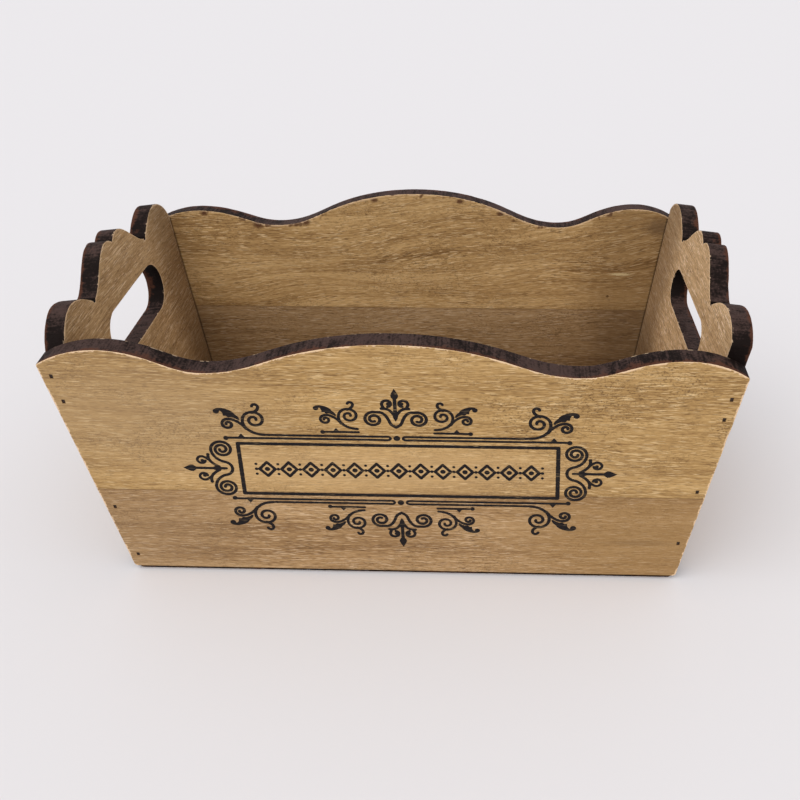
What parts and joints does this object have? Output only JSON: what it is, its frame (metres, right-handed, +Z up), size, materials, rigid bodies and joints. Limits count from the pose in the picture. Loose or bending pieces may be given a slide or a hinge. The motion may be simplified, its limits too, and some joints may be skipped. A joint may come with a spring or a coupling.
{
  "type": "trug garden basket",
  "caption": "Open wooden garden basket with four outward-leaning boards, scalloped scorched rims, a slot hand hole in each end and a thin base board.",
  "frame": {"origin": "middle of the underside of the base board, on the surface that the basket stands on", "axes": "+X along the length from the left end to the right end, +Y from the printed front to the back, +Z up"},
  "size_m": [0.3664, 0.2014, 0.1802],
  "materials": {
    "side_board": "planed open-grained wood with scorched dark brown edges, matte",
    "base_board": "thin wood board with a dark scorched rim, matte",
    "brad": "dull dark steel wire",
    "ornament_ink": "thin matte black ink of the ornament on the front, with no node of its own"
  },
  "bodies": {
    "root": {"front_lower_board": "side_board", "front_upper_board": "side_board", "back_lower_board": "side_board", "back_upper_board": "side_board", "left_end_board": "side_board", "right_end_board": "side_board", "base_board": "base_board", "front_left_brads": "brad", "front_right_brads": "brad", "back_left_brads": "brad", "back_right_brads": "brad", "base_front_brads": "brad", "base_back_brads": "brad", "base_left_brads": "brad", "base_right_brads": "brad"}
  },
  "joints": []
}
